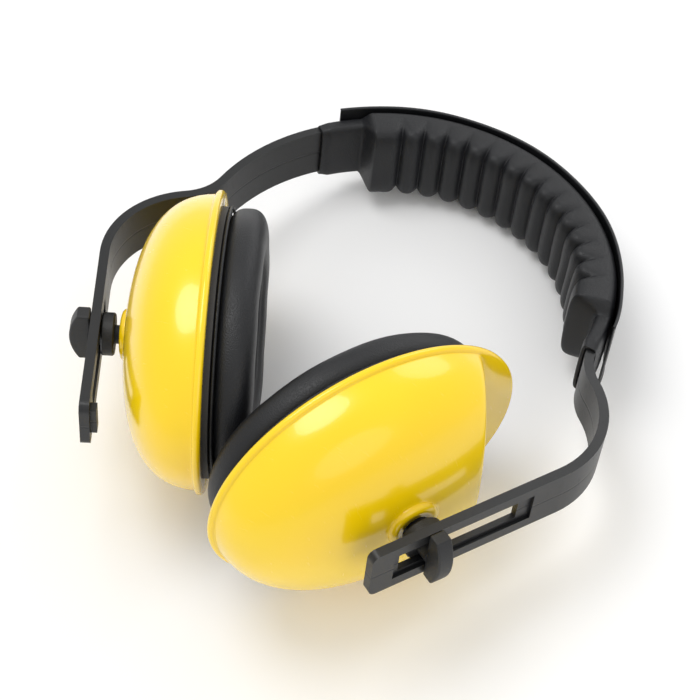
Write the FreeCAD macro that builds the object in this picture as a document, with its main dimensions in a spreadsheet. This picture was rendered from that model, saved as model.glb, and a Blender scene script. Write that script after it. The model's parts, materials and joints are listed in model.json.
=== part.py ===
"""Ear defenders: sprung headband with slotted arms, padded sleeve on its crown, two oval cups on ball studs.

Band frame: X across the head, Y towards the crown, Z across the band's width, origin in the middle of
the strip at the top of the crown. Stud frame, one each side: X outward along the stud, Y up the arm
towards the crown, origin in the middle of the arm. Cup frame: the same, centred on the stud's ball.
At the end everything is laid on its side on a flat floor: +Z up, the floor at Z = 0.
"""
import FreeCAD
import Part
import math
import os
import re

import Sketcher
from FreeCAD import Placement, Rotation, Vector

SIZES = {
    # headband strip
    "band_width": 20.0, "band_thick": 3.4,
    "crown_radius": 76.0, "crown_half_angle": 89.0,
    "waist_radius": 20.0, "waist_angle": 49.0,
    "shoulder_radius": 33.0, "shoulder_angle": 79.6,
    # its slotted arms, measured down from the shoulder
    "arm_length": 73.5, "arm_corner": 3.0,
    "recess_start": 11.6, "recess_end": 65.0, "recess_half": 5.8, "recess_depth": 1.2,
    "slot_start": 17.0, "slot_end": 62.5, "slot_half": 4.05,
    "lug_start": 67.0, "lug_end": 71.0, "lug_half": 5.5, "lug_height": 2.2,
    # padded sleeve
    "pad_turn": 19.0, "pad_half_width": 16.0, "pad_bevel": 2.5, "pad_wall": 1.2,
    "pad_inner": 62.0, "pad_outer": 78.4,
    "block_half_angle": 60.0, "cavity_half_angle": 58.6, "collar_half_angle": 72.0,
    "collar_half_width": 12.0, "collar_inner": 71.6, "channel_gap": 0.35, "foam_gap": 0.1,
    "cover_half_angle": 65.0, "cover_thick": 1.0,
    # ball stud, washer and ball liner
    "head_half": 10.5, "head_length": 5.6, "head_base": 1.95, "head_top": 9.5, "head_radius": 19.0,
    "head_round": 0.7,
    "shank_radius": 4.0, "neck_radius": 3.3, "ball_radius": 6.0, "ball_depth": 14.0,
    "washer_radius": 7.6, "washer_face": 1.9, "washer_thick": 4.5, "washer_bore": 4.05,
    "washer_bevel": 0.5,
    "liner_inner": 6.05, "liner_outer": 7.4, "liner_mouth": 4.7, "liner_front": 4.7, "liner_back": 4.2,
    # cup shell
    "seat_radius": 7.45, "boss_radius": 9.4, "boss_front": 5.4, "boss_back": 6.2, "boss_bevel": 1.6,
    "cap_thick": 2.2, "part_gap": 0.05,
    "rim_depth": 27.4, "rim_long": 59.0, "rim_wide": 47.0, "rim_thick": 2.6, "rim_bevel": 0.7,
    "dome_long": 57.6, "dome_wide": 45.5, "dome_height": 30.8, "dome_wall": 2.4,
    "mouth_reach": 1.5, "mouth_long": 52.0, "mouth_wide": 40.2, "facet_low": 44.0, "facet_lean": 29.0, "facet_reach": 12.0,
    # foam insert and cushion
    "insert_long": 33.0, "insert_wide": 29.0, "insert_front": 8.0, "insert_thick": 12.0,
    "insert_drop": 5.0, "insert_hole": 11.0,
    "plate_thick": 2.0, "plate_long": 53.0, "plate_wide": 41.5, "hole_long": 32.0, "hole_wide": 22.5,
    "cushion_long": 52.6, "cushion_wide": 42.0, "cushion_thick": 14.2, "cushion_skin": 1.0,
}
# How each side stands: slide down the arm, then the cup's swing, tilt and roll on its ball (degrees).
STANCE = {
    "left": {"slide": 30.7, "swing": 2.0, "tilt": -2.0, "roll": 3.0},
    "right": {"slide": 50.3, "swing": 0.6, "tilt": 0.0, "roll": 3.0},
}
# The dome's outline is a squarish curve: at a share u of its height, its radii are (1 - u^2.6)^0.4 of
# those at the rim.
DOME_SHARES = (0.0, 0.25, 0.5, 0.7, 0.84, 0.93, 0.98)
# Cushion outline: share of its thickness, and how far its edge is taken in there.
CUSHION = ((0.0, 0.0), (0.62, 0.6), (0.86, 2.8), (1.0, 6.6))

ALONG_X = Rotation(Vector(0, 1, 0), 90)
ALONG_Y = Rotation(Vector(1, 0, 0), -90)
ACROSS_X = Rotation(Vector(0, 1, 0), Vector(0, 0, 1), Vector(1, 0, 0))

doc = FreeCAD.newDocument("EarDefenders")
sheet = doc.addObject("Spreadsheet::Sheet", "Sizes")
for row, (alias, value) in enumerate(SIZES.items(), 1):
    sheet.set(f"A{row}", alias)
    sheet.set(f"B{row}", str(value))
    sheet.setAlias(f"B{row}", alias)
doc.recompute()
nodes = {}


def size(expression):
    """The value of an expression written in the sheet's aliases."""
    return float(sheet.evalExpression(str(expression)))


def linked(expression):
    """An expression with every alias written as Sizes.alias."""
    return re.sub(r"[a-z_]+", lambda word: f"Sizes.{word[0]}" if word[0] in SIZES else word[0],
                  str(expression))


def bind(obj, **expressions):
    """Bind properties to expressions. A double underscore stands for the dot in a property's path."""
    for path, expression in expressions.items():
        obj.setExpression(path.replace("__", "."), linked(expression))
    return obj


def node(name, obj, placement=Placement()):
    """Keep an object as a piece of the ear defenders, with its place in the band frame."""
    obj.Label = name
    nodes[name] = (obj, placement)


# ---- Part primitives -------------------------------------------------------------------------------

def primitive(kind, name, turn=Rotation(), x=0, y=0, z=0, **sizes):
    obj = doc.addObject(f"Part::{kind}", name)
    obj.Placement = Placement(Vector(), turn)
    return bind(obj, Placement__Base__x=x, Placement__Base__y=y, Placement__Base__z=z, **sizes)


def rod(name, start, radius, length):
    """Cylinder along X from x = start."""
    return primitive("Cylinder", name, ALONG_X, x=start, Radius=radius, Height=length)


def ball(name, x, radius):
    return primitive("Sphere", name, x=x, Radius=radius)


def boolean(kind, name, base, tool):
    obj = doc.addObject(f"Part::{kind}", name)
    obj.Base, obj.Tool = base, tool
    return obj


def fuse(name, *shapes):
    obj = doc.addObject("Part::MultiFuse", name)
    obj.Shapes = list(shapes)
    obj.Refine = True
    return obj


def loft(name, sections, ruled=True):
    """Solid through ellipses that lie across X, each given as (x, y, long radius, wide radius)."""
    rings = []
    for i, (x, y, long, wide) in enumerate(sections):
        rings.append(primitive("Ellipse", f"{name}_ring{i}", ACROSS_X, x=x, y=y,
                               MajorRadius=long, MinorRadius=wide))
    obj = doc.addObject("Part::Loft", name)
    obj.Sections = rings
    obj.Solid, obj.Ruled = True, ruled
    return obj


# ---- PartDesign bodies -----------------------------------------------------------------------------

def origin_feature(body, role):
    return next(f for f in body.Origin.OriginFeatures if f.Role == role)


def new_sketch(body, name, role, height=0):
    """Sketch on one of the body's origin planes, raised by an expression along the plane's normal."""
    sketch = body.newObject("Sketcher::SketchObject", name)
    sketch.AttachmentSupport = (origin_feature(body, role), "")
    sketch.MapMode = "FlatFace"
    return bind(sketch, AttachmentOffset__Base__z=height)


def pin(sketch, kind, *where, expression):
    """Add a dimension that follows an expression."""
    value = size(expression)
    if kind == "Angle":
        value = math.radians(value)
    index = sketch.addConstraint(Sketcher.Constraint(kind, *where, value))
    sketch.setExpression(f"Constraints[{index}]", linked(expression))


def polygon(body, name, role, points, height=0):
    """Closed sketch whose every corner is pinned at two expressions."""
    sketch = new_sketch(body, name, role, height)
    corners = [Vector(size(u), size(v), 0) for u, v in points]
    for i, corner in enumerate(corners):
        sketch.addGeometry(Part.LineSegment(corner, corners[(i + 1) % len(corners)]))
    for i, (u, v) in enumerate(points):
        sketch.addConstraint(Sketcher.Constraint("Coincident", i, 2, (i + 1) % len(points), 1))
        pin(sketch, "DistanceX", -1, 1, i, 1, expression=u)
        pin(sketch, "DistanceY", -1, 1, i, 1, expression=v)
    return sketch


def rectangle(body, name, role, u0, u1, v0, v1, height=0):
    return polygon(body, name, role, [(u0, v0), (u1, v0), (u1, v1), (u0, v1)], height)


def feature(body, kind, name, sketch, **settings):
    """PartDesign feature on a sketch; settings that are text are bound as expressions."""
    obj = body.newObject(f"PartDesign::{kind}", name)
    obj.Profile = sketch
    for prop, setting in settings.items():
        if isinstance(setting, str) and prop not in ("SideType", "Type"):
            bind(obj, **{prop: setting})
        else:
            setattr(obj, prop, setting)
    return obj


def turned(body, kind, name, sketch, axis, angle="360"):
    """Revolution or Groove about an origin axis, shared equally to both sides of the sketch."""
    return feature(body, kind, name, sketch, ReferenceAxis=(origin_feature(body, axis), [""]),
                   Midplane=True, Angle=angle)


# ---- headband --------------------------------------------------------------------------------------

def strip_path(body):
    """Centre line of the right half: crown arc, waist arc the other way, shoulder arc."""
    sketch = new_sketch(body, "StripPath", "XY_Plane")
    centre, reach, heading = Vector(0, -size("crown_radius"), 0), size("crown_radius"), 90.0
    arcs = (("crown_radius", "crown_half_angle", -1), ("waist_radius", "waist_angle", 1),
            ("shoulder_radius", "shoulder_angle", -1))
    for i, (radius, angle, sense) in enumerate(arcs):
        if i:
            joint = centre + Vector(math.cos(math.radians(heading)), math.sin(math.radians(heading))) * reach
            heading, reach = heading + 180, size(radius)
            centre = joint - Vector(math.cos(math.radians(heading)), math.sin(math.radians(heading))) * reach
        end = heading + sense * size(angle)
        low, high = sorted((heading, end))
        circle = Part.Circle(centre, Vector(0, 0, 1), reach)
        sketch.addGeometry(Part.ArcOfCircle(circle, math.radians(low), math.radians(high)))
        pin(sketch, "Radius", i, expression=radius)
        pin(sketch, "Angle", i, expression=angle)
        heading = end
    sketch.addConstraint(Sketcher.Constraint("Tangent", 0, 1, 1, 1))
    sketch.addConstraint(Sketcher.Constraint("Tangent", 1, 2, 2, 2))
    pin(sketch, "DistanceX", -1, 1, 0, 3, expression="0")
    pin(sketch, "DistanceY", -1, 1, 0, 3, expression="-crown_radius")
    sketch.addConstraint(Sketcher.Constraint("PointOnObject", 0, 2, -2))
    return sketch


def make_strip():
    """Curved part of the headband, crown to shoulders, swept along its centre line and mirrored."""
    body = doc.addObject("PartDesign::Body", "Strip")
    path = strip_path(body)
    section = rectangle(body, "StripSection", "YZ_Plane", "-band_thick/2", "band_thick/2",
                        "-band_width/2", "band_width/2")
    sweep = feature(body, "AdditivePipe", "StripSweep", section,
                    Spine=(path, ["Edge1", "Edge2", "Edge3"]))
    mirror = body.newObject("PartDesign::Mirrored", "StripMirror")
    mirror.Originals = [sweep]
    mirror.MirrorPlane = (origin_feature(body, "YZ_Plane"), [""])
    body.Tip = mirror
    doc.recompute()
    return body, min(path.Shape.Vertexes, key=lambda vertex: vertex.Y).Point


def make_arm(side):
    """Straight arm with its recess, through slot, rounded tip and inner end stop."""
    body = doc.addObject("PartDesign::Body", f"Arm_{side}")
    blank = rectangle(body, f"ArmBlank_{side}", "YZ_Plane", "-arm_length", "0",
                      "-band_width/2", "band_width/2")
    pad = feature(body, "Pad", f"ArmPad_{side}", blank, SideType="Symmetric", Length="band_thick")
    doc.recompute()
    tips = [f"Edge{i}" for i, edge in enumerate(pad.Shape.Edges, 1)
            if abs(edge.BoundBox.YMax + size("arm_length")) < 1e-6
            and abs(edge.BoundBox.XLength - size("band_thick")) < 1e-6]
    corners = body.newObject("PartDesign::Fillet", f"ArmTip_{side}")
    corners.Base = (pad, tips)
    bind(corners, Radius="arm_corner")
    recess = rectangle(body, f"RecessOutline_{side}", "YZ_Plane", "-recess_end", "-recess_start",
                       "-recess_half", "recess_half", height="band_thick/2")
    feature(body, "Pocket", f"Recess_{side}", recess, Length="recess_depth")
    slot = rectangle(body, f"SlotOutline_{side}", "YZ_Plane", "-slot_end", "-slot_start",
                     "-slot_half", "slot_half", height="band_thick")
    feature(body, "Pocket", f"Slot_{side}", slot, Length="2*band_thick")
    lug = rectangle(body, f"LugOutline_{side}", "YZ_Plane", "-lug_end", "-lug_start",
                    "-lug_half", "lug_half", height="-band_thick/2-lug_height")
    feature(body, "Pad", f"Lug_{side}", lug, Length="lug_height")
    doc.recompute()
    return body


def side_frame(side, start, down):
    """Stud frame of a side, at a distance down its arm from the shoulder."""
    sign = 1 if side == "right" else -1
    lean = math.radians(size("shoulder_angle+crown_half_angle-waist_angle") - 90)
    out = Vector(sign * math.cos(lean), -math.sin(lean), 0)
    up = Vector(sign * math.sin(lean), math.cos(lean), 0)
    return Placement(Vector(sign * start.x, start.y, 0) - up * down, Rotation(out, up, out.cross(up)))


# ---- padded sleeve ---------------------------------------------------------------------------------

def make_pad():
    """Cover strip, moulded skin and foam of the sleeve, each turned about the crown's centre."""
    place = Placement(Vector(0, -size("crown_radius"), 0), Rotation(Vector(0, 0, 1), 90 - size("pad_turn")))
    half, channel = "pad_half_width", "band_width/2+channel_gap"
    floor = "crown_radius-band_thick/2-channel_gap"

    cover = doc.addObject("PartDesign::Body", "Cover")
    outline = rectangle(cover, "CoverOutline", "XZ_Plane", "pad_outer", "pad_outer+cover_thick",
                        f"-{half}", half)
    turned(cover, "Revolution", "CoverTurn", outline, "Z_Axis", "2*cover_half_angle")
    node("pad_cover", cover, place)

    skin = doc.addObject("PartDesign::Body", "Skin")
    collar = rectangle(skin, "CollarOutline", "XZ_Plane", "collar_inner", "pad_outer",
                       "-collar_half_width", "collar_half_width")
    turned(skin, "Revolution", "CollarTurn", collar, "Z_Axis", "2*collar_half_angle")
    block = polygon(skin, "BlockOutline", "XZ_Plane", [
        ("pad_outer", half), ("pad_inner+pad_bevel", half), ("pad_inner", f"{half}-pad_bevel"),
        ("pad_inner", f"pad_bevel-{half}"), ("pad_inner+pad_bevel", f"-{half}"), ("pad_outer", f"-{half}")])
    turned(skin, "Revolution", "BlockTurn", block, "Z_Axis", "2*block_half_angle")
    cavity = rectangle(skin, "CavityOutline", "XZ_Plane", "pad_inner+pad_wall", "pad_outer+1",
                       f"pad_bevel-{half}", f"{half}-pad_bevel")
    turned(skin, "Groove", "CavityTurn", cavity, "Z_Axis", "2*cavity_half_angle")
    tunnel = rectangle(skin, "TunnelOutline", "XZ_Plane", floor, "pad_outer+1", f"-({channel})", channel)
    turned(skin, "Groove", "TunnelTurn", tunnel, "Z_Axis", "2*collar_half_angle+4")
    node("pad_skin", skin, place)

    foam = doc.addObject("PartDesign::Body", "Foam")
    fill = rectangle(foam, "FoamOutline", "XZ_Plane", "pad_inner+pad_wall+foam_gap", floor,
                     f"pad_bevel-{half}+foam_gap", f"{half}-pad_bevel-foam_gap")
    turned(foam, "Revolution", "FoamTurn", fill, "Z_Axis", "2*cavity_half_angle-1")
    node("pad_foam", foam, place)


# ---- stud, washer and liner ------------------------------------------------------------------------

def make_stud(side, place):
    """T-shaped head outside the arm, shank through the slot, neck and ball inside it."""
    block = primitive("Box", f"HeadBlock_{side}", x="head_base", y="-head_length/2", z="-head_half",
                      Length="head_top-head_base+1", Width="head_length", Height="2*head_half")
    barrel = primitive("Cylinder", f"HeadBarrel_{side}", ALONG_Y, x="head_top-head_radius",
                       y="-head_length", Radius="head_radius", Height="2*head_length")
    head = boolean("Common", f"HeadBlank_{side}", block, barrel)
    doc.recompute()
    smooth = doc.addObject("Part::Fillet", f"Head_{side}")
    smooth.Base = head
    smooth.Edges = [(i, size("head_round"), size("head_round")) for i in range(1, len(head.Shape.Edges) + 1)]
    reach = "washer_face+washer_thick"
    shank = rod(f"Shank_{side}", f"-({reach})", "shank_radius", f"{reach}+head_base+1")
    neck = rod(f"Neck_{side}", "-ball_depth", "neck_radius", f"ball_depth-({reach})")
    knob = ball(f"Ball_{side}", "-ball_depth", "ball_radius")
    node(f"stud_{side}", fuse(f"Stud_{side}", smooth, shank, neck, knob), place)


def make_washer(side, place):
    """Round bearing disc that slides along the inner face of the arm."""
    body = doc.addObject("PartDesign::Body", f"Washer_{side}")
    near, far = "-washer_face", "-washer_face-washer_thick"
    section = polygon(body, f"WasherOutline_{side}", "XY_Plane", [
        (near, "washer_bore"), (near, "washer_radius-washer_bevel"), (f"{near}-washer_bevel", "washer_radius"),
        (f"{far}+washer_bevel", "washer_radius"), (far, "washer_radius-washer_bevel"), (far, "washer_bore")])
    turned(body, "Revolution", f"WasherTurn_{side}", section, "X_Axis")
    node(f"washer_{side}", body, place)


def make_liner(side, place):
    """Spherical nylon bush between the ball and its seat, open towards the neck and at the back."""
    shell = boolean("Cut", f"LinerShell_{side}", ball(f"LinerOuter_{side}", 0, "liner_outer"),
                    ball(f"LinerInner_{side}", 0, "liner_inner"))
    slab = primitive("Box", f"LinerSlab_{side}", x="-liner_back", y="-liner_outer-1", z="-liner_outer-1",
                     Length="liner_back+liner_front", Width="2*liner_outer+2", Height="2*liner_outer+2")
    band = boolean("Common", f"LinerBand_{side}", shell, slab)
    mouth = rod(f"LinerMouth_{side}", 0, "liner_mouth", "2*liner_outer")
    node(f"ball_liner_{side}", boolean("Cut", f"Liner_{side}", band, mouth), place)


# ---- cup -------------------------------------------------------------------------------------------

def dome_loft(name, inset):
    """Domed solid over the rim plane, taken in all round by an expression."""
    sections = []
    for up in DOME_SHARES:
        share = (1 - up ** 2.6) ** 0.4
        sections.append((f"-rim_depth+{up}*(dome_height-({inset}))", 0,
                         f"{share}*(dome_long-({inset}))", f"{share}*(dome_wide-({inset}))"))
    return loft(name, sections, ruled=False)


def facet(name, inset):
    """Large block whose near face is the flat cut across the dome's crown end."""
    block = primitive("Box", name, Rotation(Vector(0, 0, 1), -size("facet_lean")),
                      x="-rim_depth-facet_reach*cos(facet_lean)",
                      y=f"facet_low-({inset})+facet_reach*sin(facet_lean)", z="-rim_long",
                      Length="2*rim_long", Width="2*rim_long", Height="2*rim_long")
    return bind(block, Placement__Rotation__Angle="-facet_lean")


def make_cup(side, place):
    """Hollow domed shell with a rim flange, a flat cut at the crown end and the ball's seat."""
    outer = boolean("Cut", f"DomeOuter_{side}", dome_loft(f"DomeOuterLoft_{side}", "0"),
                    facet(f"FacetOuter_{side}", "0"))
    inner = boolean("Cut", f"DomeInner_{side}", dome_loft(f"DomeInnerLoft_{side}", "dome_wall"),
                    facet(f"FacetInner_{side}", "dome_wall"))
    flange = loft(f"Flange_{side}", [
        ("-rim_depth", 0, "rim_long-rim_bevel", "rim_wide-rim_bevel"),
        ("-rim_depth+rim_bevel", 0, "rim_long", "rim_wide"),
        ("-rim_depth+rim_thick-rim_bevel", 0, "rim_long", "rim_wide"),
        ("-rim_depth+rim_thick", 0, "rim_long-rim_bevel", "rim_wide-rim_bevel")])
    bore = loft(f"MouthBore_{side}", [(f"-rim_depth-1+{step}*(rim_thick+mouth_reach)", 0, "mouth_long",
                                      "mouth_wide") for step in (0, 1)])
    mouth = boolean("Cut", f"CupMouth_{side}", bore, facet(f"MouthLimit_{side}", "dome_wall"))
    wall = boolean("Cut", f"DomeWall_{side}", fuse(f"DomeAndRim_{side}", outer, flange), inner)
    wall = boolean("Cut", f"DomeOpen_{side}", wall, mouth)
    boss = primitive("Cone", f"BossTop_{side}", ALONG_X, x="boss_front-boss_bevel",
                     Radius1="boss_radius", Radius2="boss_radius-boss_bevel", Height="boss_bevel")
    post = rod(f"BossPost_{side}", "-boss_back", "boss_radius", "boss_back+boss_front-boss_bevel")
    whole = fuse(f"CupWhole_{side}", wall, post, boss)
    node(f"cup_shell_{side}", boolean("Cut", f"Cup_{side}", whole, ball(f"Seat_{side}", 0, "seat_radius")),
         place)

    disc = rod(f"CapDisc_{side}", "-boss_back-part_gap-cap_thick", "boss_radius", "cap_thick")
    node(f"seat_cap_{side}", boolean("Cut", f"Cap_{side}", disc, ball(f"CapSeat_{side}", 0, "seat_radius")),
         place)

    pad = loft(f"InsertBlank_{side}", [(f"-rim_depth+insert_front+{step}*insert_thick", "-insert_drop",
                                        "insert_long", "insert_wide") for step in (0, 1)])
    hole = rod(f"InsertHole_{side}", "-rim_depth", "insert_hole", "rim_depth+boss_front")
    node(f"foam_insert_{side}", boolean("Cut", f"Insert_{side}", pad, hole), place)


def make_cushion(side, place):
    """Stiff oval plate clipped under the rim, and the foam ring wrapped in its soft skin."""
    def ring(name, start, depth, inset):
        rows = [(f"{start}-({share}*({depth}))", 0, f"cushion_long-{taken}-({inset})",
                 f"cushion_wide-{taken}-({inset})") for share, taken in CUSHION]
        bore = [(f"{start}-({share}*({depth}))", 0, f"hole_long+{flare}+({inset})",
                 f"hole_wide+{flare}+({inset})") for share, flare in ((-0.1, 0), (0.7, 0), (1.1, 3))]
        return boolean("Cut", f"{name}_{side}", loft(f"{name}Loft_{side}", rows),
                       loft(f"{name}Bore_{side}", bore))

    plate = loft(f"PlateBlank_{side}", [(f"-rim_depth-{step}*plate_thick", 0, "plate_long", "plate_wide")
                                        for step in (0, 1)])
    bore = loft(f"PlateBore_{side}", [(f"-rim_depth+1-{step}*(plate_thick+2)", 0, "hole_long", "hole_wide")
                                      for step in (0, 1)])
    node(f"cushion_plate_{side}", boolean("Cut", f"Plate_{side}", plate, bore), place)
    back = "-rim_depth-plate_thick"
    cavity = ring("CushionCavity", f"{back}-cushion_skin", "cushion_thick-2*cushion_skin", "cushion_skin")
    skin = boolean("Cut", f"CushionSkin_{side}", ring("CushionOuter", back, "cushion_thick", "0"), cavity)
    node(f"cushion_skin_{side}", skin, place)
    foam = ring("CushionFoam", f"{back}-cushion_skin-foam_gap", "cushion_thick-2*cushion_skin-2*foam_gap",
                "cushion_skin+foam_gap")
    node(f"cushion_foam_{side}", foam, place)


# ---- assembly --------------------------------------------------------------------------------------

def build():
    strip, start = make_strip()
    arms = []
    for side in ("left", "right"):
        arm = make_arm(side)
        arm.Placement = side_frame(side, start, 0)
        arms.append(arm)
    node("headband", fuse("Headband", strip, *arms))
    make_pad()
    for side, stance in STANCE.items():
        frame = side_frame(side, start, stance["slide"])
        centre = Placement(Vector(-size("ball_depth"), 0, 0), Rotation())
        swing = Placement(Vector(), Rotation(Vector(0, 0, 1), stance["swing"]))
        tilt = Placement(Vector(), Rotation(Vector(0, 1, 0), stance["tilt"]))
        roll = Placement(Vector(), Rotation(Vector(1, 0, 0), stance["roll"]))
        make_stud(side, frame)
        make_washer(side, frame)
        make_liner(side, frame * centre * swing)
        cup = frame * centre * swing * tilt * roll
        make_cup(side, cup)
        make_cushion(side, cup)
    doc.recompute()


def place_all(lay):
    for obj, place in nodes.values():
        obj.Placement = lay * place
    doc.recompute()


def lowest(names):
    return min(nodes[name][0].Shape.optimalBoundingBox(False).ZMin for name in names)


def lay_on_floor():
    """Lay the ear defenders on their side, resting on both cups and the sleeve, centred on the origin."""
    rests = [[n for n in nodes if n in (f"cup_shell_{side}", f"cushion_skin_{side}")] for side in STANCE]
    pitch, roll, span_y, span_x = -7.0, 0.0, 150.0, 100.0
    for _ in range(4):
        turn = Rotation(Vector(1, 0, 0), pitch) * Rotation(Vector(0, 1, 0), roll)
        place_all(Placement(Vector(), turn))
        left, right = (lowest(names) for names in rests)
        crown = lowest(["pad_skin", "pad_cover"])
        pitch -= math.degrees((crown - (left + right) / 2) / span_y)
        roll += math.degrees((right - left) / span_x)
    box = Part.makeCompound([obj.Shape for obj, _ in nodes.values()]).optimalBoundingBox(False)
    place_all(Placement(Vector(-box.Center.x, -box.Center.y, -box.ZMin), turn))


def write_parts():
    failed = [obj.Name for obj in doc.Objects if {"Invalid", "Error"} & set(obj.State)]
    for name, (obj, _) in nodes.items():
        if obj.Shape.isNull() or not obj.Shape.isValid() or len(obj.Shape.Solids) != 1:
            failed.append(name)
    if failed:
        raise SystemExit(f"not written, these failed: {failed}")
    os.makedirs("parts", exist_ok=True)
    for name, (obj, _) in nodes.items():
        obj.Shape.exportStep(f"parts/{name}.step")
        print(f"{name}: {obj.Shape.Volume / 1000:.2f} cm3")


build()
lay_on_floor()
write_parts()
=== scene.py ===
"""Looks of a pair of ear defenders: shells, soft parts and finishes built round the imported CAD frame."""
import json
import logging
import math
from collections.abc import Callable
from dataclasses import dataclass, field
from enum import Enum
from typing import Any

import bmesh
import bpy
import numpy as np
from mathutils import Matrix, Vector


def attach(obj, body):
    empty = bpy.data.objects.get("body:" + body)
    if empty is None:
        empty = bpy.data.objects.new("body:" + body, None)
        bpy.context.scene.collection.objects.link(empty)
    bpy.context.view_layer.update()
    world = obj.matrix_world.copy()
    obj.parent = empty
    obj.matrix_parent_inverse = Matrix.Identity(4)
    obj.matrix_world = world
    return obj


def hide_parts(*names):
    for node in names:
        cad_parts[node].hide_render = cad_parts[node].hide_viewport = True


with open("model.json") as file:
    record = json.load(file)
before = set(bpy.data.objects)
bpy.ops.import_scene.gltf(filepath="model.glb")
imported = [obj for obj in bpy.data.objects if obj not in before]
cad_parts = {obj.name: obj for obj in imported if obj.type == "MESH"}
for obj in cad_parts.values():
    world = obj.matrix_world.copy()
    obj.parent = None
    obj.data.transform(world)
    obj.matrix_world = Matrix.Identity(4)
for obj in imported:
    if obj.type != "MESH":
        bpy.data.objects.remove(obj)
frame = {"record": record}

log = logging.getLogger("ear_defenders")
MM = 0.001


# ---- places ----------------------------------------------------------------------------------------

class Side(Enum):
    """The two cups, as seen from the arms' tips with the crown away from the viewer."""
    LEFT = "left"
    RIGHT = "right"


@dataclass(frozen=True)
class Place:
    """A frame on the object: an origin in metres and three unit axes."""
    origin: np.ndarray
    axes: np.ndarray

    def points(self, local: np.ndarray) -> np.ndarray:
        """Carry points from this frame to the row frame.

        Args:
            local: Array of points in millimetres, with x, y and z in its last direction.
        Returns:
            The same points in metres in the row frame.
        """
        return self.origin + (np.asarray(local, float) * MM) @ self.axes


def unit(values: Any) -> np.ndarray:
    """The same direction with length one."""
    array = np.array(values, float)
    return array / np.linalg.norm(array)


def joint(name: str) -> dict:
    """The record's joint of that name."""
    return next(j for j in frame["record"]["behaviour"]["joints"] if j["name"] == name)


def mount(name: str) -> dict:
    """The record's mount of that name."""
    return next(m for m in frame["record"]["mounts"] if m["name"] == name)


def crown_place() -> Place:
    """Frame at the centre of the crown's arc: X to the right, Y to the crown, Z across the band.

    Returns:
        The crown's frame.
    """
    slide = joint("sleeve_slide")
    across = -unit(slide["axis"])
    up = unit(sum(-unit(joint(f"arm_slide_{side.value}")["axis"]) for side in Side))
    up = unit(up - across * np.dot(up, across))
    return Place(np.array(slide["pos_m"]), np.array([np.cross(up, across), up, across]))


def cup_place(side: Side, face_depth: float) -> Place:
    """Frame at a cup's ball: X out of the cup, Y along it to the crown, Z across it.

    Args:
        side: Which cup.
        face_depth: How far the cushion's face lies behind the ball, in millimetres.
    Returns:
        The cup's frame at rest.
    """
    ball = np.array(joint(f"cup_tilt_{side.value}")["pos_m"])
    face = mount(f"cushion_face_{side.value}")
    out = -unit(face["axis"])
    along = unit(np.array(face["pos_m"]) - ball + out * face_depth * MM)
    return Place(ball, np.array([out, along, np.cross(out, along)]))


# ---- meshes ----------------------------------------------------------------------------------------

def smooth_step(low: float, high: float, value: np.ndarray) -> np.ndarray:
    """Rise smoothly between two values.

    Args:
        low: Value at which the result leaves 0.
        high: Value at which it reaches 1.
        value: Values to look up.
    Returns:
        Numbers from 0 to 1.
    """
    share = np.clip((value - low) / (high - low), 0, 1)
    return share * share * (3 - 2 * share)


def squarish(angle: np.ndarray, power: float) -> tuple[np.ndarray, np.ndarray]:
    """Cosine and sine of a rounded square.

    Args:
        angle: Angles in radians.
        power: 2 for a circle, more for squarer corners.
    Returns:
        The two coordinates, each from -1 to 1.
    """
    cos, sin = np.cos(angle), np.sin(angle)
    return (np.sign(cos) * np.abs(cos) ** (2 / power), np.sign(sin) * np.abs(sin) ** (2 / power))


def skin(name: str, grid: np.ndarray, wrap: bool = True, caps: bool = False) -> bpy.types.Object:
    """Mesh through a grid of points whose columns close on themselves.

    Args:
        name: Name of the new object.
        grid: Points in metres, as rows by columns by 3. Each row is a closed loop.
        wrap: Whether the last row also joins the first.
        caps: Whether the first and last rows are closed with a face.
    Returns:
        The new smooth-shaded object, linked to the scene.
    """
    rows, cols = grid.shape[:2]
    last = rows if wrap else rows - 1
    faces = [(r * cols + c, r * cols + (c + 1) % cols, (r + 1) % rows * cols + (c + 1) % cols,
              (r + 1) % rows * cols + c) for r in range(last) for c in range(cols)]
    if caps:
        faces += [tuple(reversed(range(cols))), tuple(range((rows - 1) * cols, rows * cols))]
    mesh = bpy.data.meshes.new(name)
    mesh.from_pydata(grid.reshape(-1, 3).tolist(), [], faces)
    mesh.validate()
    made = bpy.data.objects.new(name, mesh)
    bpy.context.scene.collection.objects.link(made)
    fix_outside(made)
    for polygon in mesh.polygons:
        polygon.use_smooth = True
    return made


def fix_outside(piece: bpy.types.Object) -> None:
    """Turn every face of a closed mesh outwards.

    Args:
        piece: The object to mend.
    """
    work = bmesh.new()
    work.from_mesh(piece.data)
    bmesh.ops.recalc_face_normals(work, faces=work.faces)
    work.to_mesh(piece.data)
    work.free()


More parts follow.
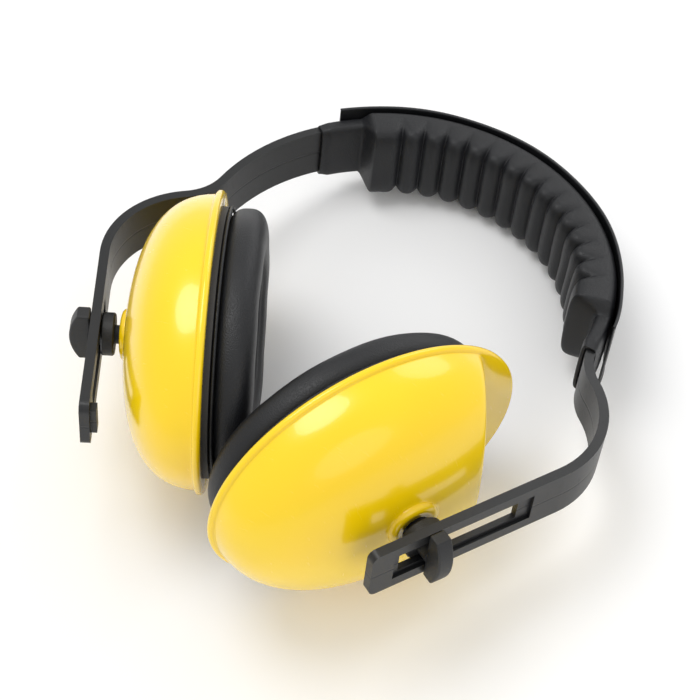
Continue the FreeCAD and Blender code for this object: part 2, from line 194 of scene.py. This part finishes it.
def soft_ring(name: str, place: Place, outer: tuple[float, float], hole: tuple[float, float],
              front: float, depth: float, power: float = 4.0, crown: float = 0.0,
              ripple: Callable[[np.ndarray, np.ndarray], np.ndarray] | None = None) -> bpy.types.Object:
    """Oval ring of soft stuff with rounded edges.

    Args:
        name: Name of the new object.
        place: The cup's frame.
        outer: Long and wide outer radius in millimetres.
        hole: Long and wide radius of the hole.
        front: Where the ring starts along X.
        depth: How thick it is towards the ear.
        power: How square its section is.
        crown: How much its face stands proud halfway between the hole and the edge.
        ripple: Extra height of the face for a turn round the ring and a share across it.
    Returns:
        The new object.
    """
    turn = np.linspace(0, 2 * np.pi, 160, endpoint=False)[:, None]
    across, deep = squarish(np.linspace(0, 2 * np.pi, 72, endpoint=False)[None, :], power)
    share = 0.5 - 0.5 * across
    lift = depth / 2 * (1 + deep) + crown * smooth_step(0, 1, deep) * np.sin(np.pi * share)
    lift = lift + np.zeros_like(turn)
    if ripple is not None:
        lift = lift + ripple(turn, share) * smooth_step(0, 0.8, deep)
    long = outer[0] + (hole[0] - outer[0]) * share
    wide = outer[1] + (hole[1] - outer[1]) * share
    local = np.stack([front - lift, long * np.cos(turn), wide * np.sin(turn)], axis=-1)
    return skin(name, place.points(local))


def bead(name: str, place: Place, long: float, wide: float, x: float, radius: float) -> bpy.types.Object:
    """Thin round welt that follows an oval.

    Args:
        name: Name of the new object.
        place: The cup's frame.
        long: Long radius of the oval in millimetres.
        wide: Wide radius of the oval.
        x: Where the oval lies along X.
        radius: The welt's own radius.
    Returns:
        The new object.
    """
    turn = np.linspace(0, 2 * np.pi, 200, endpoint=False)[:, None]
    round_ = np.linspace(0, 2 * np.pi, 10, endpoint=False)[None, :]
    local = np.stack([x + radius * np.sin(round_) + 0 * turn, (long + radius * np.cos(round_)) * np.cos(turn),
                      (wide + radius * np.cos(round_)) * np.sin(turn)], axis=-1)
    return skin(name, place.points(local))


# ---- shader maths ----------------------------------------------------------------------------------

@dataclass(frozen=True)
class Shade:
    """A number that varies over a surface, held as the socket of a node."""
    bench: "Bench"
    socket: bpy.types.NodeSocket

    def _with(self, operation: str, *values: Any) -> "Shade":
        """The result of a Math node on these values."""
        made = self.bench.node("ShaderNodeMath", {"operation": operation}, dict(enumerate(values)))
        return Shade(self.bench, made.outputs[0])

    def __add__(self, other: Any) -> "Shade":
        """This plus a number or shade."""
        return self._with("ADD", self, other)

    def __radd__(self, other: Any) -> "Shade":
        """A number plus this."""
        return self._with("ADD", other, self)

    def __sub__(self, other: Any) -> "Shade":
        """This minus a number or shade."""
        return self._with("SUBTRACT", self, other)

    def __rsub__(self, other: Any) -> "Shade":
        """A number minus this."""
        return self._with("SUBTRACT", other, self)

    def __mul__(self, other: Any) -> "Shade":
        """This times a number or shade."""
        return self._with("MULTIPLY", self, other)

    def __rmul__(self, other: Any) -> "Shade":
        """A number times this."""
        return self._with("MULTIPLY", other, self)

    def __abs__(self) -> "Shade":
        """This without its sign."""
        return self._with("ABSOLUTE", self)

    def ramp(self, low: float, high: float) -> "Shade":
        """Rise smoothly from 0 at low to 1 at high.

        Args:
            low: Value at which the result leaves 0.
            high: Value at which it reaches 1.
        Returns:
            The new shade, between 0 and 1.
        """
        made = self.bench.node("ShaderNodeMapRange", {"interpolation_type": "SMOOTHSTEP", "clamp": True},
                               {"Value": self, "From Min": low, "From Max": high})
        return Shade(self.bench, made.outputs["Result"])


@dataclass
class Bench:
    """The node tree of one material and the ways to add to it."""
    name: str
    material: bpy.types.Material = field(init=False)
    shader: bpy.types.Node = field(init=False)

    def __post_init__(self) -> None:
        """Make the material with an empty Principled shader."""
        self.material = bpy.data.materials.new(self.name)
        self.material.use_nodes = True
        self.material.node_tree.nodes.clear()
        self.shader = self.node("ShaderNodeBsdfPrincipled")
        end = self.node("ShaderNodeOutputMaterial")
        self.material.node_tree.links.new(self.shader.outputs[0], end.inputs["Surface"])

    def node(self, kind: str, settings: dict | None = None, inputs: dict | None = None) -> bpy.types.Node:
        """Add a node.

        Args:
            kind: Blender's type of the node.
            settings: Its own settings by name, set before its sockets.
            inputs: Values, shades or sockets by input name or number.
        Returns:
            The new node.
        """
        made = self.material.node_tree.nodes.new(kind)
        for name, value in (settings or {}).items():
            setattr(made, name, value)
        for name, value in (inputs or {}).items():
            self.feed(made.inputs[name], value)
        return made

    def feed(self, socket: bpy.types.NodeSocket, value: Any) -> None:
        """Link a shade or socket to an input, or set a plain value there.

        Args:
            socket: The input.
            value: What it gets.
        """
        if isinstance(value, Shade):
            value = value.socket
        if isinstance(value, bpy.types.NodeSocket):
            self.material.node_tree.links.new(value, socket)
        else:
            socket.default_value = value

    def where(self, stretch: tuple[float, float, float] = (1, 1, 1)) -> bpy.types.NodeSocket:
        """Place on the piece in metres, stretched along the row's axes."""
        place = self.node("ShaderNodeTexCoord").outputs["Object"]
        made = self.node("ShaderNodeMapping", {}, {"Vector": place, "Scale": stretch})
        return made.outputs["Vector"]

    def noise(self, scale: float, detail: float = 3, rough: float = 0.5,
              stretch: tuple[float, float, float] = (1, 1, 1)) -> Shade:
        """Cloudy variation over the surface.

        Args:
            scale: About how many patches to the metre.
            detail: How many finer layers it has.
            rough: How strong they are.
            stretch: How much finer it is along each axis.
        Returns:
            The shade, from 0 to 1.
        """
        made = self.node("ShaderNodeTexNoise", {}, {"Vector": self.where(stretch), "Scale": scale,
                                                    "Detail": detail, "Roughness": rough})
        return Shade(self, made.outputs["Fac"])

    def cells(self, scale: float) -> Shade:
        """Distance from the middles of pebble-like cells.

        Args:
            scale: About how many cells to the metre.
        Returns:
            The shade, 0 in each middle.
        """
        made = self.node("ShaderNodeTexVoronoi", {}, {"Vector": self.where(), "Scale": scale})
        return Shade(self, made.outputs["Distance"])

    def along(self, place: Place, axis: int) -> Shade:
        """Distance along one axis of a frame, from its origin.

        Args:
            place: The frame.
            axis: 0, 1 or 2.
        Returns:
            The distance in millimetres.
        """
        direction = place.axes[axis] / MM
        made = self.node("ShaderNodeVectorMath", {"operation": "DOT_PRODUCT"},
                         {0: self.where(), 1: tuple(direction)})
        return Shade(self, made.outputs["Value"]) - float(np.dot(direction, place.origin))

    def blend(self, share: Shade, first: tuple, second: tuple) -> bpy.types.NodeSocket:
        """Mix two colours.

        Args:
            share: How much of the second colour shows.
            first: First colour, linear.
            second: Second colour, linear.
        Returns:
            The mixed colour.
        """
        made = self.node("ShaderNodeMix", {"data_type": "RGBA"}, {"Factor": share, 6: (*first, 1),
                                                                  7: (*second, 1)})
        return made.outputs[2]

    def relief(self, height: Shade, depth: float, strength: float = 1.0) -> None:
        """Raise the surface by a shade.

        Args:
            height: The shade.
            depth: Height in metres where the shade is 1.
            strength: How much of it shows.
        """
        made = self.node("ShaderNodeBump", {}, {"Height": height, "Distance": depth, "Strength": strength})
        self.feed(self.shader.inputs["Normal"], made.outputs["Normal"])

    def set(self, **values: Any) -> None:
        """Set inputs of the shader, with an underscore for each space in a name."""
        for name, value in values.items():
            self.feed(self.shader.inputs[name.replace("_", " ")], value)


@dataclass(frozen=True)
class Moulded:
    """Moulded plastic with flow marks, a fine texture, light scuffs and an optional groove."""
    name: str
    colour: tuple[float, float, float]
    flow: tuple[float, float, float]
    roughness: float
    texture: float
    scuff: float = 0.10
    coat: float = 0.0
    groove: Place | None = None
    groove_half: float = 0.45

    def make(self) -> bpy.types.Material:
        """Build the material."""
        bench = Bench(self.name)
        cloud = bench.noise(22, 2).ramp(0.35, 0.7)
        scuffs = bench.noise(120, 5, 0.7, (1, 6, 1)).ramp(0.56, 0.72)
        grain = bench.noise(2600, 2)
        height = grain * self.texture
        if self.groove is not None:
            line = 1 - abs(bench.along(self.groove, 2)).ramp(self.groove_half * 0.5, self.groove_half)
            height = height - line * 0.6
        bench.set(Base_Color=bench.blend(cloud, self.colour, self.flow),
                  Roughness=self.roughness + scuffs * self.scuff + grain * 0.04,
                  Coat_Weight=self.coat, Coat_Roughness=0.06)
        bench.relief(height, 0.0005)
        return bench.material


@dataclass(frozen=True)
class Vinyl:
    """Soft vinyl skin with a pebbled grain, faint creases and a dull sheen."""
    name: str
    colour: tuple[float, float, float]
    worn: tuple[float, float, float]
    roughness: float = 0.46
    grain: float = 0.35

    def make(self) -> bpy.types.Material:
        """Build the material."""
        bench = Bench(self.name)
        pebbles = bench.cells(2200).ramp(0.05, 0.75)
        creases = bench.noise(90, 4, 0.6, (1, 1, 2))
        cloud = bench.noise(30, 3).ramp(0.4, 0.75)
        bench.set(Base_Color=bench.blend(cloud * 0.7 + pebbles * 0.2, self.colour, self.worn),
                  Roughness=self.roughness + cloud * 0.08 - pebbles * 0.05,
                  Specular_IOR_Level=0.40)
        bench.relief(creases * 0.3 - pebbles * self.grain, 0.00016)
        return bench.material


@dataclass(frozen=True)
class OpenFoam:
    """Open-cell foam: dull and pitted, with painted shade that darkens its colour in the pits."""
    name: str
    colour: tuple[float, float, float]
    pit_shade: tuple[float, float, float]

    def make(self) -> bpy.types.Material:
        """Build the material."""
        bench = Bench(self.name)
        pits = bench.cells(900).ramp(0.15, 0.6)
        cloud = bench.noise(60, 3)
        # Painted shade: the colour turns to the pit colour in the middle of each cell, where the bump sinks.
        bench.set(Base_Color=bench.blend(1 - pits, self.colour, self.pit_shade), Roughness=0.92 - cloud * 0.06,
                  Sheen_Weight=0.2)
        bench.relief(pits + cloud * 0.4, 0.0006)
        return bench.material


def dress(piece: bpy.types.Object, material: bpy.types.Material) -> None:
    """Give a piece or a CAD node one material all over.

    Args:
        piece: The object.
        material: Its material.
    """
    if not piece.material_slots:
        piece.data.materials.append(material)
    for holder in piece.material_slots:
        holder.material = material


def settle(piece: bpy.types.Object, body: str, material: bpy.types.Material,
           replaces: tuple[str, ...] = ()) -> None:
    """Tie a finished piece to its body, its finish and the CAD nodes it stands for.

    Args:
        piece: The piece.
        body: The CAD body it moves with.
        material: Its material.
        replaces: CAD nodes that it hides.
    """
    dress(piece, material)
    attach(piece, body)
    if replaces:
        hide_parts(*replaces)
    log.info("%s rides on %s", piece.name, body)


# ---- finishes --------------------------------------------------------------------------------------

@dataclass
class Finishes:
    """Every finish on the ear defenders, made once."""
    crown: Place
    band: bpy.types.Material = field(init=False)
    knob: bpy.types.Material = field(init=False)
    shell: bpy.types.Material = field(init=False)
    inner: bpy.types.Material = field(init=False)
    nylon: bpy.types.Material = field(init=False)
    foam: bpy.types.Material = field(init=False)
    vinyl: bpy.types.Material = field(init=False)
    cover: bpy.types.Material = field(init=False)
    edge: bpy.types.Material = field(init=False)

    def __post_init__(self) -> None:
        """Make the materials."""
        self.band = Moulded("band_black", (0.0055, 0.006, 0.0065), (0.009, 0.0095, 0.0105), 0.36, 0.10,
                            groove=self.crown).make()
        self.knob = Moulded("knob_black", (0.0055, 0.006, 0.0065), (0.010, 0.0105, 0.0115), 0.46, 0.22).make()
        self.shell = Moulded("shell_yellow", (1.0, 0.66, 0.0), (1.0, 0.69, 0.002), 0.22, 0.012,
                             scuff=0.05, coat=0.5).make()
        self.inner = Moulded("inner_black", (0.022, 0.022, 0.024), (0.030, 0.030, 0.032), 0.55, 0.20).make()
        self.nylon = Moulded("nylon_pale", (0.62, 0.60, 0.54), (0.68, 0.66, 0.60), 0.42, 0.06).make()
        # The foam's second colour is painted shade for its pits.
        self.foam = OpenFoam("foam_dark", (0.045, 0.045, 0.048), (0.012, 0.012, 0.013)).make()
        self.vinyl = Vinyl("vinyl_dark", (0.0065, 0.007, 0.0085), (0.013, 0.014, 0.0165)).make()
        self.cover = Vinyl("vinyl_cover", (0.006, 0.0065, 0.0075), (0.011, 0.0115, 0.0125), 0.4, 0.2).make()
        self.edge = Vinyl("vinyl_weld", (0.018, 0.019, 0.021), (0.032, 0.033, 0.036), 0.5, 0.1).make()


# ---- sub-assemblies --------------------------------------------------------------------------------

@dataclass
class Sleeve:
    """Padded sleeve on the crown: ribbed soft skin, its foam and the cover strip. Sizes in mm, degrees."""
    crown: Place
    turn: float = 19.0
    inner: float = 62.1
    outer: float = 78.3
    half_width: float = 15.9
    block_end: float = 59.6
    collar_end: float = 71.8
    collar_inner: float = 71.7
    collar_half: float = 11.9
    rib_pitch: float = 7.25
    rib_count: int = 14
    rib_depth: float = 2.6
    strip_radius: float = 76.0
    channel: tuple[float, float] = (2.03, 10.33)
    cover_end: float = 65.0
    cover_radius: float = 78.9
    cover_half: tuple[float, float] = (0.42, 15.8)
    weld: tuple[float, float, float] = (79.0, 15.4, 0.55)
    foam_section: tuple[float, float, float] = (69.4, 4.0, 12.6)

    def bend(self, angle: np.ndarray, radius: np.ndarray, across: np.ndarray) -> np.ndarray:
        """Bend flat places round the crown.

        Args:
            angle: Degrees from the sleeve's middle, towards the left arm.
            radius: Distance from the crown's centre.
            across: Distance from the middle of the band's width.
        Returns:
            Points in metres in the row frame.
        """
        heading = np.radians(90 - self.turn + angle)
        radius, across = radius + 0 * heading, across + 0 * heading
        return self.crown.points(np.stack([radius * np.cos(heading), radius * np.sin(heading), across], -1))

    def rib(self, angle: np.ndarray) -> np.ndarray:
        """How far the skin dips between two ribs.

        Args:
            angle: Degrees from the sleeve's middle.
        Returns:
            0 on a crest to 1 in a groove.
        """
        from_groove = np.abs(np.mod(angle / self.rib_pitch, 1) - 0.5) * 2
        inside = np.abs(angle) < self.rib_pitch * self.rib_count / 2
        return np.where(inside, (1 - from_groove) ** 2.4, 0.0)

    def skin_rows(self, angle: np.ndarray, turn: np.ndarray) -> np.ndarray:
        """Outer surface of the ribbed skin.

        Args:
            angle: Column of degrees along the sleeve.
            turn: Row of radians round its section.
        Returns:
            Grid of points in metres.
        """
        collar = smooth_step(self.block_end - 3.5, self.block_end, np.abs(angle))
        taper = smooth_step(self.collar_end - 3, self.collar_end, np.abs(angle))
        inner = self.inner + (self.collar_inner - self.inner) * collar + 0.9 * taper
        half = self.half_width + (self.collar_half - self.half_width) * collar - 0.7 * taper
        deep, wide = squarish(turn, 5.0)
        middle, reach = (self.outer + inner) / 2, (self.outer - inner) / 2
        radius, across = middle + reach * deep, half * wide
        dip = self.rib_depth * self.rib(angle) * (1 - smooth_step(self.inner, self.inner + 10.5, radius))
        side = smooth_step(0.55, 1.0, np.abs(across) / self.half_width)
        swell = 0.25 * np.sin(np.radians(angle) * 9 + across * 0.2) * (1 - collar)
        return self.bend(angle, radius + dip + np.maximum(swell, 0) * (deep < -0.5),
                         across - np.sign(across) * dip * side * 0.75)

    def make_skin(self, finishes: Finishes) -> None:
        """Ribbed skin with its hollow channel for the band."""
        turn = np.linspace(0, 2 * np.pi, 72, endpoint=False)[None, :]
        angle = np.linspace(-self.collar_end, self.collar_end, 660)[:, None]
        deep, wide = squarish(turn, 8.0)
        hollow = self.bend(angle[::-1], self.strip_radius + self.channel[0] * deep, self.channel[1] * wide)
        piece = skin("sleeve_skin", np.concatenate([self.skin_rows(angle, turn), hollow]))
        settle(piece, "sleeve", finishes.vinyl, ("pad_skin",))

    def make_foam(self, finishes: Finishes) -> None:
        """Foam behind the ribs, clear of the grooves and of the band."""
        turn = np.linspace(0, 2 * np.pi, 40, endpoint=False)[None, :]
        angle = np.linspace(-self.block_end + 3, self.block_end - 3, 120)[:, None]
        deep, wide = squarish(turn, 6.0)
        middle, thick, half = self.foam_section
        rows = self.bend(angle, middle + thick * deep, half * wide)
        piece = skin("sleeve_foam", rows, wrap=False, caps=True)
        settle(piece, "sleeve", finishes.foam, ("pad_foam",))

    def lift(self, angle: np.ndarray) -> np.ndarray:
        """How far the cover strip stands off the skin: a little wavy, and loose at its right end.

        Args:
            angle: Degrees from the sleeve's middle.
        Returns:
            Distances in millimetres.
        """
        loose = 0.9 * smooth_step(50, self.cover_end, -angle)
        return loose + 0.12 * np.sin(np.radians(angle) * 11) + 0.12

    def make_cover(self, finishes: Finishes) -> None:
        """Cover strip over the outer face, with a welded edge along both sides."""
        turn = np.linspace(0, 2 * np.pi, 40, endpoint=False)[None, :]
        angle = np.linspace(-self.cover_end, self.cover_end, 260)[:, None]
        deep, wide = squarish(turn, 5.0)
        thick, half = self.cover_half
        rows = self.bend(angle, self.cover_radius + self.lift(angle) + thick * deep, half * wide)
        strip = skin("sleeve_cover", rows, wrap=False, caps=True)
        settle(strip, "sleeve", finishes.cover, ("pad_cover",))
        middle, across, radius = self.weld
        for name, side in (("upper", 1), ("lower", -1)):
            edge = self.bend(angle, middle + self.lift(angle) + radius * np.cos(turn),
                             side * across + radius * np.sin(turn))
            weld = skin(f"sleeve_weld_{name}", edge, wrap=False, caps=True)
            settle(weld, "sleeve", finishes.edge)

    def build(self, finishes: Finishes) -> None:
        """Build the whole sleeve."""
        self.make_skin(finishes)
        self.make_foam(finishes)
        self.make_cover(finishes)


@dataclass
class Cup:
    """One ear cup: shell, boss, foam insert and cushion. Sizes in mm from the ball's centre."""
    side: Side
    rim: float = -27.4
    dome: tuple[float, float, float] = (57.6, 45.5, 30.8)
    wall: float = 2.4
    flange: tuple[float, float] = (59.0, 47.0)
    flange_thick: float = 2.6
    bevel: float = 0.7
    mouth: tuple[float, float] = (52.0, 40.2)
    facet_low: float = 44.0
    facet_lean: float = 29.0
    facet_blend: float = 1.3
    boss_radius: float = 9.4
    seat_radius: float = 7.45
    face: float = 43.6
    cushion: tuple[float, float] = (52.3, 41.7)
    hole: tuple[float, float] = (32.4, 22.9)
    insert_drop: float = 5.0
    dome_powers: tuple[float, float] = (2.6, 0.4)
    dome_rings: int = 56
    mouth_reach: float = 3.1
    boss_ends: tuple[float, float] = (-6.2, 5.4)
    plate_thick: float = 2.0
    cushion_thick: float = 14.0
    cushion_power: float = 2.6
    place: Place = field(init=False)

    def __post_init__(self) -> None:
        """Find the cup's own frame."""
        self.place = cup_place(self.side, self.face)

    @property
    def body(self) -> str:
        """The CAD body that the cup's pieces move with."""
        return f"cup_{self.side.value}"

    def limit(self, x: np.ndarray, y: np.ndarray, inset: float) -> np.ndarray:
        """Hold points back behind the flat cut at the crown end, with a soft edge.

        Args:
            x: Places along the cup's axis.
            y: Places towards the crown.
            inset: How far inside the outer cut.
        Returns:
            The places towards the crown, none of them past the cut.
        """
        cut = self.facet_low - inset - (x - self.rim) * math.tan(math.radians(self.facet_lean))
        share = np.clip(0.5 + 0.5 * (cut - y) / self.facet_blend, 0, 1)
        return cut + (y - cut) * share - self.facet_blend * share * (1 - share)

    def dome_rows(self, inset: float, start: float) -> list[tuple]:
        """Rings of the dome from near the rim up to the boss.

        Args:
            inset: How far inside the outer surface.
            start: Where the first ring lies along the cup's axis.
        Returns:
            One row each: place along the axis, long and wide radius, inset of the flat cut.
        """
        height = self.dome[2] - inset
        first = (start - self.rim) / height
        rows = []
        for step in np.sin(np.linspace(0, 1, self.dome_rings) * np.pi / 2):
            up = first + (1 - first) * step
            share = max(1 - up ** self.dome_powers[0], 0) ** self.dome_powers[1]
            rows.append((self.rim + up * height, max(share * (self.dome[0] - inset), self.boss_radius - 0.4),
                         max(share * (self.dome[1] - inset), self.boss_radius - 0.4), inset))
        return rows

    def make_shell(self, finishes: Finishes) -> None:
        """Domed shell with its rim flange, flat cut and hollow inside."""
        top = self.rim + self.flange_thick
        long, wide = self.flange
        bevel = self.bevel
        edge = [(top, long - bevel, wide - bevel, None), (top - bevel, long, wide, None),
                (self.rim + bevel, long, wide, None), (self.rim, long - bevel, wide - bevel, None)]
        lip = [(self.rim, *self.mouth, self.wall), (self.rim + self.mouth_reach, *self.mouth, self.wall)]
        rows = self.dome_rows(0, top)[::-1] + edge + lip + self.dome_rows(self.wall, self.rim + self.mouth_reach + 0.1)
        turn = np.linspace(0, 2 * np.pi, 240, endpoint=False)
        grid = []
        for x, reach, half, inset in rows:
            y, z = reach * np.cos(turn), half * np.sin(turn)
            place = np.full_like(y, x)
            if inset is not None:
                y = self.limit(place, y, inset)
            grid.append(np.stack([place, y, z], -1))
        piece = skin(f"shell_{self.side.value}", self.place.points(np.array(grid)))
        settle(piece, self.body, finishes.shell, (f"cup_shell_{self.side.value}",))

    def make_boss(self, finishes: Finishes) -> None:
        """Round boss that holds the ball, with its hollow seat."""
        seat = self.seat_radius
        back, front = self.boss_ends
        angle = np.linspace(math.acos(front / seat), math.acos(back / seat), 14)
        inside = [(seat * math.cos(a), seat * math.sin(a)) for a in angle]
        bevel = ((1.8, 0), (0.9, 0.35), (0.25, 1.1), (0, 1.9))
        outside = [(back, self.boss_radius)]
        outside += [(front - down, self.boss_radius - taken) for down, taken in bevel]
        turn = np.linspace(0, 2 * np.pi, 96, endpoint=False)
        grid = np.array([np.stack([np.full_like(turn, x), r * np.cos(turn), r * np.sin(turn)], -1)
                         for x, r in inside + outside])
        piece = skin(f"boss_{self.side.value}", self.place.points(grid))
        settle(piece, self.body, finishes.shell)

    def make_cushion(self, finishes: Finishes) -> None:
        """Sealing cushion with its foam and the welded seams round its outer and inner edge."""
        name = self.side.value
        back = self.rim - self.plate_thick

        def creases(turn: np.ndarray, share: np.ndarray) -> np.ndarray:
            """Slight unevenness of the face, pulled in beside the inner seam."""
            wave = 0.12 * np.sin(5 * turn + 1.3) + 0.08 * np.sin(11 * turn)
            return wave - 0.5 * np.exp(-((share - 0.86) / 0.05) ** 2)

        ring = soft_ring(f"cushion_{name}", self.place, self.cushion, self.hole, back,
                         self.cushion_thick, self.cushion_power, 0.0, creases)
        settle(ring, self.body, finishes.vinyl, (f"cushion_skin_{name}",))
        foam = soft_ring(f"cushion_filling_{name}", self.place, (self.cushion[0] - 1.6, self.cushion[1] - 1.6),
                         (self.hole[0] + 1.6, self.hole[1] + 1.6), back - 1.4, 11.0, 3.6)
        settle(foam, self.body, finishes.foam, (f"cushion_foam_{name}",))
        for part, radii in (("outer", self.cushion), ("inner", self.hole)):
            seam = bead(f"cushion_seam_{part}_{name}", self.place, radii[0], radii[1], back - 1.1, 0.55)
            settle(seam, self.body, finishes.vinyl)

    def make_insert(self, finishes: Finishes) -> None:
        """Sound-deadening foam with a hole over the ball's seat."""
        lowered = Place(self.place.points(np.array([0, -self.insert_drop, 0])), self.place.axes)

        def lumps(turn: np.ndarray, share: np.ndarray) -> np.ndarray:
            """Unevenness of cut foam."""
            return 0.25 * np.sin(7 * turn + 4 * share) + 0.15 * np.sin(17 * turn - 9 * share)

        piece = soft_ring(f"insert_{self.side.value}", lowered, (32.7, 28.7), (11.3, 11.3), -7.6, 11.2,
                          5.0, 0.2, lumps)
        settle(piece, self.body, finishes.foam, (f"foam_insert_{self.side.value}",))

    def build(self, finishes: Finishes) -> None:
        """Build the whole cup."""
        self.make_shell(finishes)
        self.make_boss(finishes)
        self.make_cushion(finishes)
        self.make_insert(finishes)


@dataclass
class Hardware:
    """The hard parts whose CAD shape stays: headband, studs, washers, liners, caps and plates."""

    def build(self, finishes: Finishes) -> None:
        """Give each node its finish."""
        wanted = {"headband": finishes.band}
        for side in Side:
            wanted |= {f"stud_{side.value}": finishes.knob, f"washer_{side.value}": finishes.knob,
                       f"ball_liner_{side.value}": finishes.nylon, f"seat_cap_{side.value}": finishes.inner,
                       f"cushion_plate_{side.value}": finishes.inner}
        for name, material in wanted.items():
            dress(bpy.data.objects[name], material)
            log.info("%s dressed", name)


@dataclass
class Studio:
    """White floor, soft lights and the camera. Angles in degrees, lengths in metres."""
    target: tuple[float, float, float] = (-0.00594, -0.0265, 0.040)
    azimuth: float = 36.855
    elevation: float = 57.226
    roll: float = -7.833
    distance: float = 0.6063
    lens: float = 89.357
    shift: tuple[float, float] = (0.0561, 0.0280)

    def make_camera(self) -> None:
        """Aim the camera."""
        azimuth, elevation, roll = (math.radians(a) for a in (self.azimuth, self.elevation, self.roll))
        ahead = Vector((-math.sin(azimuth) * math.cos(elevation), math.cos(azimuth) * math.cos(elevation),
                        -math.sin(elevation)))
        level = Vector((math.cos(azimuth), math.sin(azimuth), 0))
        right = level * math.cos(roll) + level.cross(ahead) * math.sin(roll)
        lens = bpy.data.cameras.new("camera")
        lens.lens, lens.sensor_width = self.lens, 36
        lens.shift_x, lens.shift_y = self.shift
        camera = bpy.data.objects.new("camera", lens)
        axes = (right, right.cross(ahead), -ahead)
        eye = Vector(self.target) - ahead * self.distance
        camera.matrix_world = Matrix([[*(axis[i] for axis in axes), eye[i]] for i in range(3)] + [[0, 0, 0, 1]])
        bpy.context.scene.collection.objects.link(camera)
        bpy.context.scene.camera = camera

    def make_light(self, name: str, where: tuple[float, float, float], size: float, power: float) -> None:
        """Add a soft lamp that points at the object.

        Args:
            name: Name of the lamp.
            where: Its place in metres.
            size: Width of its panel.
            power: Its power in watts.
        """
        panel = bpy.data.lights.new(name, "AREA")
        panel.shape, panel.size, panel.energy = "DISK", size, power
        lamp = bpy.data.objects.new(name, panel)
        lamp.location = where
        lamp.rotation_euler = (Vector(self.target) - Vector(where)).to_track_quat("-Z", "Y").to_euler()
        bpy.context.scene.collection.objects.link(lamp)

    def make_floor(self) -> None:
        """Lay a pale floor with a faint texture."""
        half = 3.0
        mesh = bpy.data.meshes.new("floor")
        mesh.from_pydata([(-half, -half, -0.0003), (half, -half, -0.0003), (half, half, -0.0003),
                          (-half, half, -0.0003)], [], [(0, 1, 2, 3)])
        floor = bpy.data.objects.new("floor", mesh)
        bpy.context.scene.collection.objects.link(floor)
        bench = Bench("floor_white")
        cloud = bench.noise(4, 2)
        bench.set(Base_Color=bench.blend(cloud, (0.96, 0.96, 0.96), (0.98, 0.98, 0.98)), Roughness=0.9,
                  Specular_IOR_Level=0.1)
        dress(floor, bench.material)

    def build(self) -> None:
        """Build the floor, the lights, the surroundings and the camera."""
        self.make_camera()
        self.make_floor()
        self.make_light("key", (-0.30, 0.05, 0.95), 0.55, 3.2)
        self.make_light("fill", (0.75, -0.45, 0.7), 0.8, 1.2)
        self.make_light("back", (0.1, 0.95, 0.6), 0.6, 1.6)
        world = bpy.data.worlds.new("surroundings")
        world.use_nodes = True
        world.node_tree.nodes["Background"].inputs["Color"].default_value = (1, 1, 1, 1)
        world.node_tree.nodes["Background"].inputs["Strength"].default_value = 0.78
        bpy.context.scene.world = world
        bpy.context.scene.view_settings.view_transform = "Standard"


def main() -> None:
    """Build the ear defenders and their surroundings."""
    logging.basicConfig(level=logging.INFO, format="%(message)s")
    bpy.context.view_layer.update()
    Studio().build()
    crown = crown_place()
    finishes = Finishes(crown)
    Hardware().build(finishes)
    Sleeve(crown).build(finishes)
    for side in Side:
        Cup(side).build(finishes)


if __name__ == "__main__":
    main()
